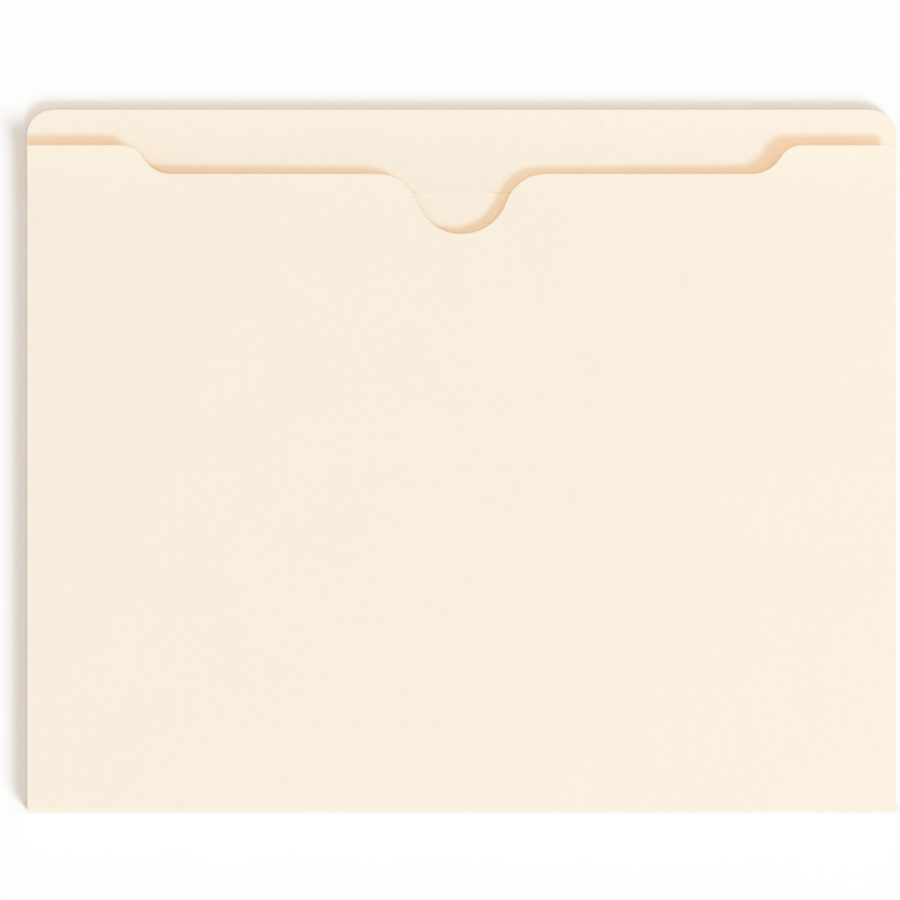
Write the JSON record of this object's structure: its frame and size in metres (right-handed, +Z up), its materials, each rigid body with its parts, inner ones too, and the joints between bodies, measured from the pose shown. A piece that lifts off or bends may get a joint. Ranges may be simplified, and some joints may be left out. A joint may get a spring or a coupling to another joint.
{
  "type": "file jacket",
  "caption": "Flat manila card file jacket, letter size: pocket closed at sides and bottom, undercut front with a thumb notch, straight two-ply tab with rounded corners.",
  "frame": {"origin": "middle of the jacket's outline, on the plane that its back panel rests on", "axes": "+X to the reader's right along the long side, +Y towards the tab and mouth, +Z up out of the front panel"},
  "size_m": [0.2984, 0.2414, 0.0058],
  "materials": {
    "manila_card": "matt uncoated manila card with fine fibre flecks",
    "card_fold": "the same card where it bends, slightly paler along the crease",
    "dried_glue": "thin film of dried glue between two layers of card"
  },
  "bodies": {
    "back": {"back_panel": "manila_card", "tab_fold": "card_fold", "tab_ply": "manila_card", "tab_glue": "dried_glue", "bottom_fold": "card_fold", "left_side_fold": "card_fold", "right_side_fold": "card_fold"},
    "seams": {"left_glue_flap": "manila_card", "right_glue_flap": "manila_card", "left_seam_glue": "dried_glue", "right_seam_glue": "dried_glue"},
    "front": {"front_panel": "manila_card"}
  },
  "joints": [
    {"name": "pocket_swell", "type": "slide", "parent": "back", "child": "seams", "axis": [0, 0, 1], "range_m": [-0.0046, 0.002], "stiffness_N_per_m": 300, "springref_m": 0.00052, "deforming": ["bottom_fold", "left_side_fold", "right_side_fold"]},
    {"name": "mouth_opening", "type": "hinge", "parent": "seams", "child": "front", "pos_m": [0, -0.11777, 0.00562], "axis": [1, 0, 0], "range_deg": [0, 7], "stiffness_Nm_per_rad": 0.6}
  ]
}
